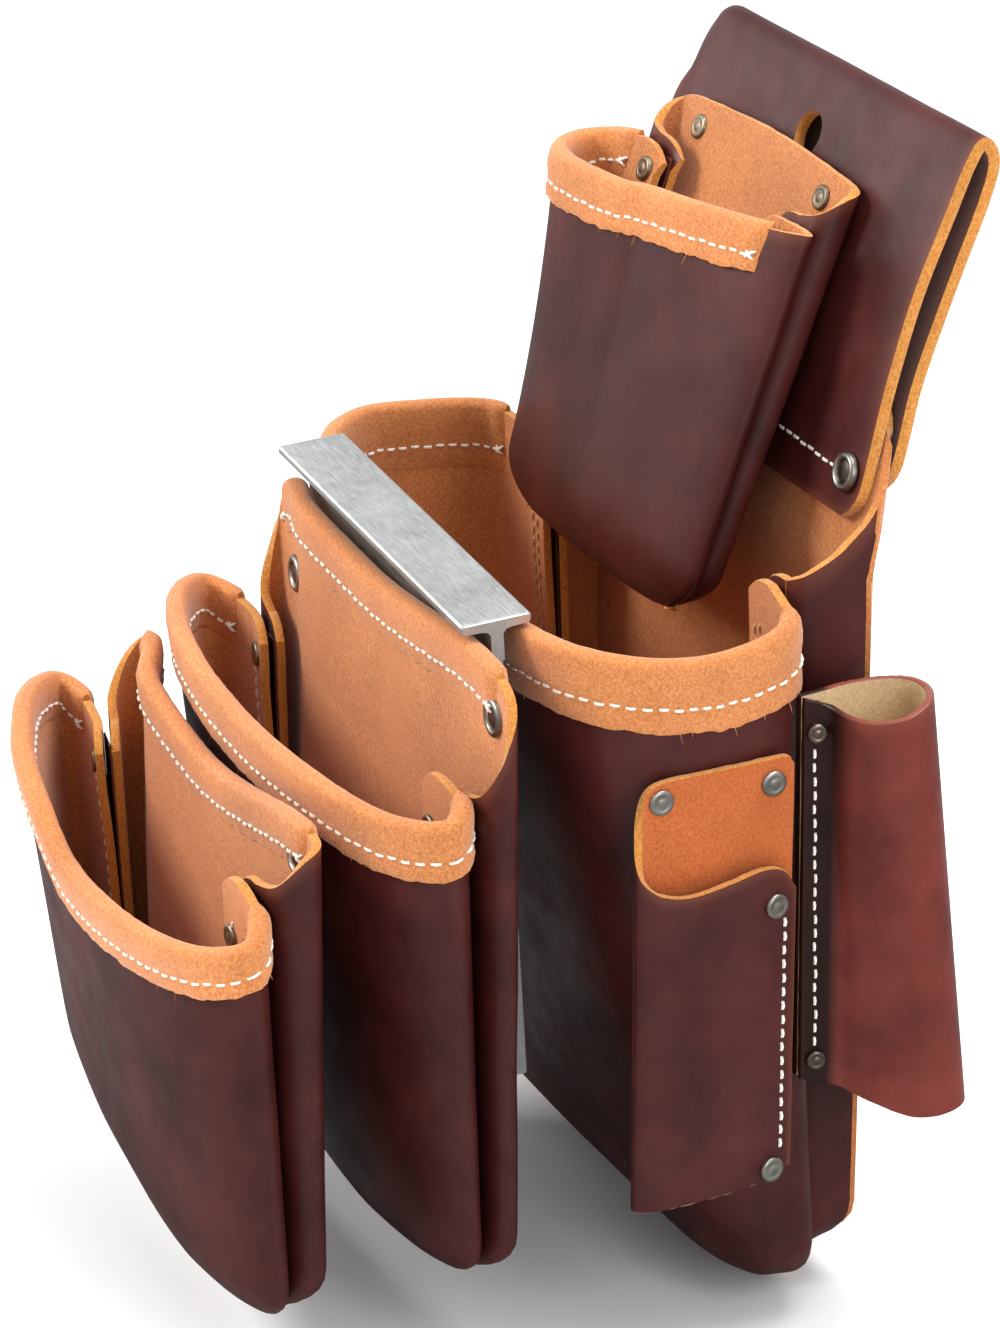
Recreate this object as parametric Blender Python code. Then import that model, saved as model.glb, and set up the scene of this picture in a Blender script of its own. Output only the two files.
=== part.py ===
"""Leather fastener bag with four pouches, a belt loop, a knife sleeve, a tool
holster and a stowed layout square.

The frame: X runs along the belt, -Y points away from the wearer and +Z is up.
The origin is on the flat outer (rear) face of the main bag's back panel, in the
middle of its width. Lengths below are in millimetres, and heights are counted
from the bottom of the main bag; main() moves everything down by ORIGIN_HEIGHT.
"""
import math

import bmesh
import bpy
from mathutils import Euler, Matrix, Vector

MM = 0.001
ORIGIN_HEIGHT = 150.0    # height of the origin above the bottom of the main bag

# ---- driving dimensions ----------------------------------------------------
LEATHER = 3.4            # thickness of the bag leather
STRAP_LEATHER = 4.5      # thickness of the belt loop
GAP = 0.35               # air between touching pieces
BINDING_WALL = 1.7       # thickness of the suede rim binding
FLANGE = 15.0            # width of the seam's flanges, which point into the pouch
HOOK_LENGTH = 26.0       # length over which the left end of a seam hooks back
STRAP_HALF_WIDTH = 100.0
LEAN_START = 280.4       # height where the back panel starts to lean back
LEAN_SLOPE = 0.25        # how far it leans for each mm of height
EAR_TAPER = 0.0022       # how much the back panel narrows for each mm above its wings
MAIN_TURN = 0.06         # how far the left of the main front turns back, to clear the square

SQUARE_LEG = 178.0       # fence length and blade height of the square
SQUARE_FENCE_WIDTH = 26.0
SQUARE_FENCE_THICK = 3.2
SQUARE_BLADE_THICK = 4.8
SQUARE_TILT = Euler((math.radians(4.0), math.radians(2.0), math.radians(-2.0)))
SQUARE_TOP = (1.0, -132.0, 281.6)

SLEEVE_LEATHER = 2.8
SLEEVE_BOTTOM = 67.0

HOLSTER_LEATHER = 2.8
HOLSTER_TOP = 248.0
HOLSTER_BOTTOM = 92.0

RIVET_RADIUS = 4.7
EYELET_RADIUS = 7.0

# Half of the plan of a pouch front, as (sideways share of the lobe, share of
# the depth), from the crease at the side seam round to the middle of the front.
FRONT_PLAN = {
    "main": ((0.0, 0.0), (0.80, 0.10), (1.0, 0.42), (0.90, 0.76), (-0.10, 0.985)),
    "mid": ((0.0, 0.0), (0.80, 0.12), (1.0, 0.36), (0.15, 0.72), (-1.60, 0.95)),
}
# The same for a back panel, whose side wings turn forward to the seam.
BACK_PLAN = ((0.0, 0.0), (0.72, 0.20), (1.0, 0.58), (0.80, 1.0), (-0.5, 1.0))


class Pouch:
    """Sizes of one pouch: a front dish and a back dish that meet at a seam."""

    def __init__(self, centre, half, flat_half, lobes, back_lobes, seam, front, back, bottom,
                 round_bottom, rim_left, rim_right, back_left, back_right, plan, drop, belly=1.0,
                 bend=0.0, skew=(0.0, 0.0), turn=0.0, rise=0.0, hook=0.0):
        self.centre = centre              # x of the middle
        self.half = half                  # half width at the creases
        self.flat_half = flat_half        # half width of the seam along the bottom
        self.lobes = lobes                # how far the front's (left, right) lobes stand out
        self.back_lobes = back_lobes      # how far the back panel's (left, right) wings stand out
        self.seam = seam                  # y of the side seam at (bottom, rim)
        self.front = front                # y of the front at (bottom, rim)
        self.back = back                  # y of the back panel
        self.bottom = bottom              # z of the bottom
        self.round_bottom = round_bottom  # radius of the bottom edge
        self.rim_left = rim_left          # z of the front rim, one per plan point
        self.rim_right = rim_right        # the same on the right, with the middle last
        self.back_left = back_left        # z of the back panel's top, one per plan point
        self.back_right = back_right      # the same on the right, with the middle last
        self.plan = FRONT_PLAN[plan]
        self.drop = drop                  # how far the rim binding reaches down
        self.belly = belly                # 1 tapers straight, less bulges low down
        self.bend = bend                  # how far the left end turns back
        self.skew = skew                  # share of depth (gained on the left, lost on the right)
        self.turn = turn                  # y per x by which the pouch is turned
        self.rise = rise                  # how far the bottom rises towards the left end
        self.hook = hook                  # how far back the left end of the seam reaches


MAIN = Pouch(0.0, 101.0, 90.0, (28.0, 28.0), (6.0, 6.0), (-22.0, -31.0), (-44.0, -123.6), -1.7,
             6.0, 30.0,
             (272.0, 273.0, 275.0, 276.0, 274.0), (279.0, 272.0, 267.0, 270.0, 272.0, 268.0),
             (280.0, 283.0, 291.0, 306.0, 338.0), (280.0, 283.0, 291.0, 306.0, 338.0, 344.0),
             "main", 24.0, belly=0.62)
MID = Pouch(6.0, 94.0, 83.0, (28.0, 24.0), (12.0, 26.0), (-150.0, -153.0), (-169.0, -196.0),
            -141.3, 36.0, 26.0,
            (219.0, 221.0, 225.0, 227.0, 225.0), (228.0, 225.0, 221.0, 220.0, 222.0, 222.0),
            (219.0, 226.0, 240.0, 260.0, 269.0), (222.0, 228.0, 243.0, 263.0, 269.0, 264.0),
            "mid", 18.0, belly=0.8, turn=-0.015, rise=20.0, hook=5.0)
OUTER = Pouch(-2.0, 90.0, 79.0, (32.0, 22.0), (12.0, 18.0), (-216.0, -222.0), (-236.0, -258.0),
              -204.6, 27.0, 26.0,
              (185.0, 188.0, 192.0, 194.0, 184.0), (197.0, 190.0, 183.0, 177.0, 173.0, 172.0),
              (185.0, 192.0, 204.0, 212.0, 213.0), (196.0, 200.0, 209.0, 214.0, 214.0, 203.0),
              "mid", 15.0, belly=0.9, bend=4.0, turn=-0.02, rise=32.0, hook=9.0)
# The small pouch is drawn upright with its back at y = 0, then leant back.
SMALL = Pouch(-16.0, 55.0, 59.0, (23.0, 17.0), (12.0, 12.0), (-9.0, -13.0), (-22.0, -40.0), 0.0,
              -165.0, 18.0,
              (-20.0, -24.0, -30.0, -35.0, -34.0), (-20.0, -20.0, -21.0, -24.0, -28.0, -31.0),
              (-17.0, -14.0, -7.0, -2.0, 0.0), (-17.0, -14.0, -7.0, -2.0, 0.0, 2.0),
              "mid", 16.0, belly=0.9, skew=(0.7, 0.3))
SMALL_LEAN = math.radians(20.8)
SMALL_ORIGIN = (0.0, 22.6, 401.0)

ROUND_ROWS = 4
SIDE_ROWS = 5


# ---- small helpers ---------------------------------------------------------
def clear_scene():
    for thing in list(bpy.data.objects):
        bpy.data.objects.remove(thing)


def material(name, colour, roughness, metallic=0.0):
    found = bpy.data.materials.get(name)
    if found:
        return found
    made = bpy.data.materials.new(name)
    made.use_nodes = True
    shader = made.node_tree.nodes["Principled BSDF"]
    shader.inputs["Base Color"].default_value = (*colour, 1.0)
    shader.inputs["Roughness"].default_value = roughness
    shader.inputs["Metallic"].default_value = metallic
    made.diffuse_color = (*colour, 1.0)
    return made


def dark_leather():
    return material("dark_leather", (0.085, 0.022, 0.020), 0.42)


def red_leather():
    return material("red_leather", (0.150, 0.022, 0.014), 0.35)


def suede():
    return material("suede", (0.56, 0.24, 0.095), 0.95)


def nickel():
    return material("nickel", (0.55, 0.53, 0.50), 0.3, 1.0)


def aluminium():
    return material("aluminium", (0.50, 0.52, 0.52), 0.38, 1.0)


def add_object(name, mesh_data, finish):
    thing = bpy.data.objects.new(name, mesh_data)
    bpy.context.scene.collection.objects.link(thing)
    mesh_data.materials.append(finish)
    return thing


def slopes_of(points):
    """Slopes of a smooth curve at its points, held back next to short spans."""
    spans = [after - before for before, after in zip(points, points[1:])]
    slopes = [spans[0]]
    for before, after in zip(spans, spans[1:]):
        slope = (before + after) / 2
        limit = 1.5 * min(before.length, after.length)
        slopes.append(slope * min(1.0, limit / slope.length))
    return [*slopes, spans[-1]]


def spline(points, steps):
    """Points on a smooth curve through the given points, steps per span."""
    slopes = slopes_of(points)
    curve = []
    for a, b, slope_a, slope_b in zip(points, points[1:], slopes, slopes[1:]):
        for step in range(steps):
            t = step / steps
            curve.append(a * (2 * t ** 3 - 3 * t ** 2 + 1) + slope_a * (t ** 3 - 2 * t ** 2 + t)
                         + b * (3 * t ** 2 - 2 * t ** 3) + slope_b * (t ** 3 - t ** 2))
    curve.append(points[-1].copy())
    return curve


def lerp(a, b, t):
    return a + (b - a) * t


# ---- pouch surfaces --------------------------------------------------------
def side_plan(pouch, height_share, front):
    """Plan outline at one height, left to right, as points (x, y, z of the rim)."""
    seam = lerp(pouch.seam[0], pouch.seam[1], height_share)
    half = pouch.half
    if front:
        depth = lerp(pouch.front[0], pouch.front[1], height_share ** pouch.belly)
        shape, lobes = pouch.plan, pouch.lobes
        tops = (pouch.rim_left, pouch.rim_right)
    else:
        depth, shape, lobes = pouch.back, BACK_PLAN, pouch.back_lobes
        tops = (pouch.back_left, pouch.back_right)
    left, right = [], []
    for (out, share), top_left, top_right in zip(shape, *tops):
        y = lerp(seam, depth, share)
        left.append(Vector((-half - out * lobes[0], y, top_left)))
        right.append(Vector((half + out * lobes[1], y, top_right)))
    middle = Vector((0.0, depth, tops[1][-1]))
    return [*left, middle, *reversed(right)], seam


def panel_rows(pouch, front, steps=2):
    """Rows of points from the bottom seam up to the rim, in the middle of the leather."""
    lift = -1.0 if front else 1.0
    full = pouch.rim_right[0] - pouch.bottom
    steps_up = []
    for row in range(ROUND_ROWS + 1):
        angle = math.radians(8.0) + math.radians(82.0) * row / ROUND_ROWS
        steps_up.append((math.sin(angle), pouch.round_bottom * (1.0 - math.cos(angle)), 0.0))
    for row in range(1, SIDE_ROWS + 1):
        steps_up.append((1.0, pouch.round_bottom, row / SIDE_ROWS))
    rows = []
    for swell, above, share in steps_up:
        outline, seam = side_plan(pouch, lerp(above / full, 1.0, share), front)
        curve = spline(outline, steps)
        deepest = outline[len(pouch.rim_left)].y
        points = []
        for index, point in enumerate(curve):
            across = 2.0 * index / (len(curve) - 1) - 1.0
            flat = Vector((across * pouch.flat_half, seam, 0.0))
            here = flat.lerp(Vector((point.x, point.y, 0.0)), swell)
            here.z = lerp(pouch.bottom + rise_at(pouch, here.x) + above, point.z, share)
            if front:
                skew = pouch.skew[0] if here.x < 0.0 else pouch.skew[1]
                here.y = seam + (here.y - seam) * (1.0 - skew * share * here.x / pouch.half)
            apart = LEATHER / 2 + GAP + 0.2
            if front:
                apart += (BINDING_WALL + GAP) * min(1.0, share / 0.8) ** 3
            near_seam = max(abs(across) ** 8, 1.0 - swell)
            held = max(0.0, (here.y - seam) / (deepest - seam)) if front else 0.0
            hook_x = lerp(flat.x, here.x, swell)
            hooked = hook_back(pouch, hook_x) * max(0.0, 1.0 - held) * swell ** 2
            apart *= math.hypot(1.0, hook_back(pouch, hook_x - 0.5) - hook_back(pouch, hook_x + 0.5))
            here.y += lift * apart * near_seam
            here.y += turn_back(pouch, here.x) + pouch.turn * (here.x + 60.0) + hooked
            if pouch is MAIN:
                if front:
                    here.y += MAIN_TURN * max(0.0, -here.x) * (here.y - seam) / (-124.0 - seam)
                else:
                    lean = max(0.0, here.z - LEAN_START)
                    here.y += LEAN_SLOPE * lean
                    here.x *= 1.0 - EAR_TAPER * max(0.0, here.z - 290.0)
            here.x += pouch.centre
            points.append(here)
        rows.append(points)
    return rows


def rise_at(pouch, x):
    """How much higher the bottom is at x than at its right end."""
    return pouch.rise * (max(0.0, 50.0 - x) / 145.0) ** 1.25


def turn_back(pouch, x):
    """Shift in y that turns the left end of a pouch back towards the bag."""
    return pouch.bend * (max(0.0, -30.0 - x) / 70.0) ** 2


def hook_back(pouch, x):
    """Shift in y of the left end of the seam and of the back panel."""
    near = min(1.0, max(0.0, HOOK_LENGTH - pouch.half - x) / HOOK_LENGTH)
    return pouch.hook * near ** 2 * (3.0 - 2.0 * near)


def hook_drop(pouch):
    """How much of the hook is lost from the left crease to the edge of its flange."""
    return hook_back(pouch, -pouch.half) - hook_back(pouch, FLANGE - pouch.half)


def normals_of(rows):
    """Unit normals of a grid of points, from the neighbours of each point."""
    normals = []
    for r, row in enumerate(rows):
        line = []
        for c in range(len(row)):
            across = row[min(c + 1, len(row) - 1)] - row[max(c - 1, 0)]
            above = rows[min(r + 1, len(rows) - 1)][c] - rows[max(r - 1, 0)][c]
            line.append(across.cross(above).normalized())
        normals.append(line)
    return normals


def uncross(skin, row):
    """Spreads the points of a skin that pass each other inside a tight curl of its row."""
    for k in range(len(row) - 1):
        step = row[k + 1] - row[k]
        if (skin[k + 1] - skin[k]).dot(step) < 0.1 * step.length_squared:
            middle = (skin[k] + skin[k + 1]) / 2
            skin[k] = middle - step * 0.05
            skin[k + 1] = middle + step * 0.05


def sheet(name, rows, thickness, finish, flange=0.0, drop=0.0):
    """A closed solid of leather: the grid of points thickened to both sides.

    With a flange, its two upright edges above the rounded bottom are drawn out
    towards the middle, like the seam allowance inside a pouch. The left one
    leaves the crease forwards by drop in y.
    """
    normals = normals_of(rows)
    mesh = bmesh.new()
    sides = []
    for sign in (0.5, -0.5):
        side = []
        for row, line in zip(rows, normals):
            skin = [p + n * thickness * sign for p, n in zip(row, line)]
            uncross(skin, row)
            side.append([mesh.verts.new(p * MM) for p in skin])
        sides.append(side)
    outer, inner = sides
    last_row = len(rows) - 1
    last_column = len(rows[0]) - 1
    for r in range(last_row):
        for c in range(last_column):
            mesh.faces.new((outer[r][c], outer[r][c + 1], outer[r + 1][c + 1], outer[r + 1][c]))
            mesh.faces.new((inner[r][c], inner[r + 1][c], inner[r + 1][c + 1], inner[r][c + 1]))
    for c in range(last_column):
        mesh.faces.new((outer[0][c + 1], outer[0][c], inner[0][c], inner[0][c + 1]))
        mesh.faces.new((outer[last_row][c], outer[last_row][c + 1],
                        inner[last_row][c + 1], inner[last_row][c]))
    for column, way in ((0, 1.0), (last_column, -1.0)):
        edge = [mesh.faces.new((outer[r][column], outer[r + 1][column],
                                inner[r + 1][column], inner[r][column]))
                for r in range(last_row)]
        if flange:
            drawn = bmesh.ops.extrude_face_region(mesh, geom=edge[ROUND_ROWS:])
            moved = [item for item in drawn["geom"] if isinstance(item, bmesh.types.BMVert)]
            forward = drop if way > 0.0 else 0.0
            bmesh.ops.translate(mesh, verts=moved, vec=(way * flange * MM, -forward * MM, 0.0))
            bmesh.ops.delete(mesh, geom=edge[ROUND_ROWS:], context="FACES_ONLY")
    return finish_mesh(name, mesh, finish)


def finish_mesh(name, mesh, finish):
    bmesh.ops.recalc_face_normals(mesh, faces=mesh.faces)
    data = bpy.data.meshes.new(name)
    mesh.to_mesh(data)
    mesh.free()
    data.shade_smooth()
    data.set_sharp_from_angle(angle=math.radians(40.0))
    return add_object(name, data, finish)


def binding(name, rows, first, last, drop_to, finish):
    """A suede strip folded over the rim of a panel, from column first to last."""
    top, below = rows[-1], rows[-2]
    normals_below, normals = normals_of(rows)[-2:]
    inside = LEATHER / 2 + 1.5 * GAP
    outside = inside + BINDING_WALL
    # Cross-section as (offset along the normal, distance down from the rim).
    section = ((-outside, drop_to), (-outside, -1.0), (-outside * 0.5, -3.0),
               (outside * 0.5, -3.0), (outside, -1.0), (outside, drop_to),
               (inside, drop_to), (inside, -GAP), (-inside, -GAP), (-inside, drop_to))
    mesh = bmesh.new()
    rings = []
    for column in range(first, last + 1):
        down = below[column] - top[column]
        ring = []
        for offset, drop in section:
            share = drop / down.length
            normal = normals[column].lerp(normals_below[column], max(0.0, share))
            place = top[column] + normal * offset + down * share
            ring.append(mesh.verts.new(place * MM))
        rings.append(ring)
    count = len(section)
    for ring, following in zip(rings, rings[1:]):
        for k in range(count):
            after = (k + 1) % count
            mesh.faces.new((ring[k], ring[after], following[after], following[k]))
    for cap in ((0, 1, 8, 9), (1, 2, 8), (2, 3, 7, 8), (3, 4, 7), (4, 5, 6, 7)):
        mesh.faces.new([rings[0][k] for k in cap])
        mesh.faces.new([rings[-1][k] for k in reversed(cap)])
    return finish_mesh(name, mesh, finish)


def leant(thing):
    """Places an upright small-pouch piece against the leaning belt loop."""
    thing.location = Vector(SMALL_ORIGIN) * MM
    thing.rotation_euler = (-SMALL_LEAN, 0.0, 0.0)
    return thing


# ---- belt loop -------------------------------------------------------------
def strap_line():
    """Middle of the strap's leather in the YZ plane, from the rear end to the front end."""
    clear = (LEATHER / 2 + GAP + STRAP_LEATHER / 2) * math.hypot(1.0, LEAN_SLOPE) + 0.1

    def sheet_y(z):
        return MAIN.back + LEAN_SLOPE * max(0.0, z - LEAN_START)

    rear = [Vector((0.0, sheet_y(z) + clear + 1.6, z)) for z in (302.0, 324.0, 346.0)]
    over = [Vector((0.0, y, z)) for y, z in ((33.5, 380.0), (44.5, 408.0), (47.5, 421.0),
                                             (43.5, 427.5), (38.5, 421.0), (32.0, 406.0),
                                             (19.5, 376.0))]
    front = [Vector((0.0, sheet_y(z) - clear, z)) for z in (346.0, 321.0, 296.0)]
    return [*rear, *over, *front]


def strap_half_width(along, length):
    """Half width of the strap, with its two end corners rounded."""
    corner = 16.0
    left = min(along, length - along)
    if left >= corner:
        return STRAP_HALF_WIDTH
    return STRAP_HALF_WIDTH - corner + math.sqrt(max(0.0, corner ** 2 - (corner - left) ** 2))


def make_belt_loop():
    line = spline(strap_line(), 2)
    lengths = [0.0]
    for before, after in zip(line, line[1:]):
        lengths.append(lengths[-1] + (after - before).length)
    rows = []
    for point, along in zip(line, lengths):
        half = strap_half_width(max(along, 2.0), lengths[-1] + 2.0)
        rows.append([Vector((half * share, point.y, point.z))
                     for share in (-1.0, -0.5, 0.0, 0.5, 1.0)])
    loop = sheet("belt_loop", rows, STRAP_LEATHER, dark_leather())
    cut_hole(loop, (-2.0, 32.0, 404.0), (8.5, 8.5), 26.0, "hang_slot_cutter")
    return loop


def cut_hole(target, centre, radii, tilt, name):
    """Cuts an oval hole through the front layer of the belt loop only."""
    bpy.ops.mesh.primitive_cylinder_add(vertices=16, radius=1.0, depth=12.0 * MM,
                                        location=Vector(centre) * MM)
    cutter = bpy.context.object
    cutter.name = name
    cutter.scale = (radii[0] * MM, radii[1] * MM, 1.0)
    cutter.rotation_euler = (math.radians(90.0 - tilt), 0.0, 0.0)
    cutter.hide_render = True
    cutter.display_type = "WIRE"
    change = target.modifiers.new("hole", "BOOLEAN")
    change.operation = "DIFFERENCE"
    change.object = cutter


# ---- hardware --------------------------------------------------------------
def disc_profile(radius, height):
    """Outline of a domed rivet head, from its rim to its middle."""
    return ((radius, 0.0), (radius, height * 0.45), (radius * 0.72, height * 0.9), (0.0, height))


def rivet(name, place, normal, radius=RIVET_RADIUS, height=1.4, eyelet=False):
    """A rivet head, or a rolled eyelet, whose flat side rests on the leather."""
    mesh = bmesh.new()
    sides = 12
    if eyelet:
        outline = ((radius, 0.0), (radius * 0.8, height), (radius * 0.5, height * 0.6),
                   (radius * 0.42, 0.0))
    else:
        outline = disc_profile(radius, height)
    rings = []
    for r, z in outline:
        if r == 0.0:
            rings.append([mesh.verts.new((0.0, 0.0, z * MM))])
            continue
        rings.append([mesh.verts.new((r * math.cos(k * math.tau / sides) * MM,
                                      r * math.sin(k * math.tau / sides) * MM, z * MM))
                      for k in range(sides)])
    for low, high in zip(rings, rings[1:]):
        for k in range(sides):
            after = (k + 1) % sides
            if len(high) == 1:
                mesh.faces.new((low[k], low[after], high[0]))
            else:
                mesh.faces.new((low[k], low[after], high[after], high[k]))
    if eyelet:
        first, last = rings[0], rings[-1]
        for k in range(sides):
            after = (k + 1) % sides
            mesh.faces.new((last[k], last[after], first[after], first[k]))
    else:
        mesh.faces.new(list(reversed(rings[0])))
    head = finish_mesh(name, mesh, nickel())
    head.location = Vector(place) * MM
    head.rotation_euler = Vector(normal).to_track_quat("Z", "X").to_euler()
    return head


def on_panel(rows, column, height, offset):
    """Point and outward normal on a panel, at a column and a height z."""
    normals = normals_of(rows)
    for r in range(len(rows) - 1):
        low, high = rows[r][column], rows[r + 1][column]
        if low.z <= height <= high.z or r == len(rows) - 2:
            t = (height - low.z) / (high.z - low.z)
            normal = normals[r][column].lerp(normals[r + 1][column], t).normalized()
            return low.lerp(high, t) + normal * offset, normal


def make_square():
    """Layout square: a T-shaped fence on top of a triangular blade."""
    leg = SQUARE_LEG / 2
    fence = SQUARE_FENCE_WIDTH / 2
    blade = SQUARE_BLADE_THICK / 2
    low = -SQUARE_FENCE_THICK
    mesh = bmesh.new()
    bmesh.ops.create_cube(mesh, size=1.0, matrix=Matrix.Diagonal(
        (SQUARE_LEG * MM, SQUARE_FENCE_WIDTH * MM, SQUARE_FENCE_THICK * MM, 1.0)))
    bmesh.ops.translate(mesh, verts=mesh.verts, vec=(0.0, 0.0, low / 2 * MM))
    body = finish_mesh("layout_square", mesh, aluminium())
    outline = ((-leg, low + 1.0), (leg, low + 1.0), (leg, -SQUARE_LEG), (leg - 14.0, -SQUARE_LEG),
               (-leg, low - 16.0))
    plate = bmesh.new()
    face = plate.faces.new([plate.verts.new((x * MM, -blade * MM, z * MM)) for x, z in outline])
    raised = bmesh.ops.extrude_face_region(plate, geom=[face])
    moved = [item for item in raised["geom"] if isinstance(item, bmesh.types.BMVert)]
    bmesh.ops.translate(plate, verts=moved, vec=(0.0, 2.0 * blade * MM, 0.0))
    web = finish_mesh("square_blade_guide", plate, aluminium())
    web.hide_render = True
    web.display_type = "WIRE"
    join = body.modifiers.new("blade", "BOOLEAN")
    join.operation = "UNION"
    join.object = web
    for thing in (body, web):
        thing.location = Vector(SQUARE_TOP) * MM
        thing.rotation_euler = SQUARE_TILT
    return body


# ---- add-ons on the main bag's right side ----------------------------------
def spread(first, last, count):
    return [lerp(first, last, k / (count - 1)) for k in range(count)]


def make_sleeve():
    """Knife sleeve: one piece folded at its left edge, its rear layer a taller tab."""
    plan = ((133.2, -43.0, 229.0), (133.2, -70.0, 228.0), (133.2, -98.0, 226.0),
            (137.0, -102.0, 195.0), (140.8, -96.0, 190.0), (141.2, -70.0, 191.0),
            (136.5, -43.0, 190.0))
    top_line = spline([Vector(point) for point in plan], 2)
    rows = []
    for share in spread(0.0, 1.0, 6):
        rows.append([Vector((p.x, p.y, lerp(SLEEVE_BOTTOM, p.z, share))) for p in top_line])
    return sheet("knife_sleeve", rows, SLEEVE_LEATHER, dark_leather())


def make_holster():
    """Tool holster: leather rolled into a flattened tube, its seam towards the front."""
    plan = ((127.4, -38.0), (126.0, -29.5), (124.0, -19.0), (124.0, -8.0), (128.0, 3.0),
            (137.0, 6.0), (149.0, 1.0), (154.0, -10.0), (150.0, -20.0), (141.0, -26.0),
            (133.0, -29.5), (131.0, -38.0))
    last = len(plan) - 1
    rows = []
    for height in spread(HOLSTER_BOTTOM, HOLSTER_TOP, 6):
        slant = (HOLSTER_TOP - height) / (HOLSTER_TOP - HOLSTER_BOTTOM)
        outline = []
        for k, (x, y) in enumerate(plan):
            free = min(1.0, k / 3, (last - k) / 3)
            outline.append(Vector((x + 3.0 * slant, y + 16.0 * slant * free, height)))
        rows.append(spline(outline, 2))
    return sheet("tool_holster", rows, HOLSTER_LEATHER, red_leather())


# ---- assembly --------------------------------------------------------------
def make_pouch(name, pouch, small=False):
    front = panel_rows(pouch, True)
    back = panel_rows(pouch, False)
    first, last = 3, len(front[0]) - (6 if small else 2)
    drop = hook_drop(pouch)
    pieces = [sheet(name + "_front", front, LEATHER, dark_leather(), FLANGE, drop),
              sheet(name + "_back", back, LEATHER, dark_leather(), FLANGE, drop),
              binding(name + "_rim_binding", front, first, last, pouch.drop, suede())]
    if small:
        for piece in pieces:
            leant(piece)
    return front, back


def column_at(rows, x):
    """Fractional column of a panel whose top edge passes x."""
    line = rows[-1]
    middle = len(line) // 2
    order = range(middle, len(line) - 1) if x > line[middle].x else range(middle - 1, -1, -1)
    for c in order:
        low, high = line[c].x, line[c + 1].x
        if min(low, high) <= x <= max(low, high):
            return c + (x - low) / (high - low)
    return float(order[-1])


def rivet_on(name, rows, column, height, side, radius=RIVET_RADIUS, eyelet=False):
    """A rivet head on one face of a panel: side 1 is its outside, -1 its inside."""
    first = int(column)
    share = column - first
    place, normal = on_panel(rows, first, height, side * (LEATHER / 2 + GAP))
    if share > 0.001:
        other, other_normal = on_panel(rows, first + 1, height, side * (LEATHER / 2 + GAP))
        place = place.lerp(other, share)
        normal = normal.lerp(other_normal, share)
    return rivet(name, place, normal * side, radius=radius, eyelet=eyelet)


def flange_rivet(name, pouch, rows, side, height):
    """A rivet in the middle of the seam flange, on the face towards the pouch."""
    column, way = (0, 1.0) if side == "left" else (len(rows[0]) - 1, -1.0)
    place, normal = on_panel(rows, column, height, -LEATHER / 2)
    upward = rows[-1][column] - rows[-2][column]
    forward = Vector((0.0, -upward.z, upward.y)).normalized()
    if side == "left":
        turn = math.atan2(hook_drop(pouch), FLANGE)
        forward = Matrix.Rotation(-turn, 3, "Z") @ forward
        place.y -= hook_drop(pouch) * 0.55
    place += forward * GAP
    place.x += way * FLANGE * 0.55
    return rivet(name, place, forward)


def lean_back(thing):
    """Leans a piece back together with the small pouch."""
    turn = Matrix.Rotation(-SMALL_LEAN, 4, "X")
    move = Matrix.Translation(Vector(SMALL_ORIGIN) * MM)
    place = Matrix.LocRotScale(thing.location, thing.rotation_euler, None)
    thing.matrix_world = move @ turn @ place


def make_rivets(mid_front, mid_back, outer_front, outer_back, small_front, small_back):
    for side, sign, mid_x, mid_z, outer_x in (("left", -1.0, -80.0, 236.0, -92.8),
                                              ("right", 1.0, 110.0, 252.0, 88.0)):
        rivet_on("middle_pouch_ear_rivet_" + side, mid_back,
                 column_at(mid_back, mid_x), mid_z, 1.0, EYELET_RADIUS, True)
        rivet_on("outer_pouch_ear_rivet_" + side, outer_back,
                 column_at(outer_back, outer_x), 203.0, 1.0, EYELET_RADIUS * 0.9, True)
        flange_rivet("middle_pouch_seam_rivet_" + side, MID, mid_front, side, 207.0)
        flange_rivet("outer_pouch_seam_rivet_" + side, OUTER, outer_front, side, 174.0)
        lean_back(flange_rivet("small_pouch_seam_rivet_" + side, SMALL, small_front, side,
                               -30.0))
        lean_back(rivet_on("small_pouch_top_rivet_" + side, small_back,
                           column_at(small_back, SMALL.centre + sign * 48.0), -10.0, 1.0))
        rivet("belt_loop_eyelet_" + side, (sign * 90.0, -2.4, 312.0),
              (0.0, -1.0, LEAN_SLOPE), EYELET_RADIUS, eyelet=True)
    for name, x, y, z in (("sleeve_rivet_tab_left", 134.95, -94.0, 221.0),
                          ("sleeve_rivet_tab_right", 134.95, -51.0, 220.5),
                          ("sleeve_rivet_upper", 141.2, -52.0, 177.0),
                          ("sleeve_rivet_lower", 141.2, -52.0, 75.0)):
        rivet(name, (x, y, z), (1.0, 0.17 if x > 140.0 else 0.0, 0.0))
    for name, x, y, z in (("holster_rivet_upper", 134.4, -34.2, 236.0),
                          ("holster_rivet_lower", 136.8, -33.0, 112.0)):
        rivet(name, (x, y, z), (1.0, -0.2, 0.0), radius=3.6)


def main():
    clear_scene()
    make_pouch("main_bag", MAIN)
    mid_front, mid_back = make_pouch("middle_pouch", MID)
    outer_front, outer_back = make_pouch("outer_pouch", OUTER)
    small_front, small_back = make_pouch("small_pouch", SMALL, small=True)
    binding("middle_pouch_back_binding", mid_back, 8, len(mid_back[0]) - 9, MID.drop, suede())
    binding("outer_pouch_back_binding", outer_back, 8, len(outer_back[0]) - 9, OUTER.drop,
            suede())
    make_belt_loop()
    make_sleeve()
    make_holster()
    make_square()
    make_rivets(mid_front, mid_back, outer_front, outer_back, small_front, small_back)
    for thing in bpy.data.objects:
        thing.location.z -= ORIGIN_HEIGHT * MM


main()
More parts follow.
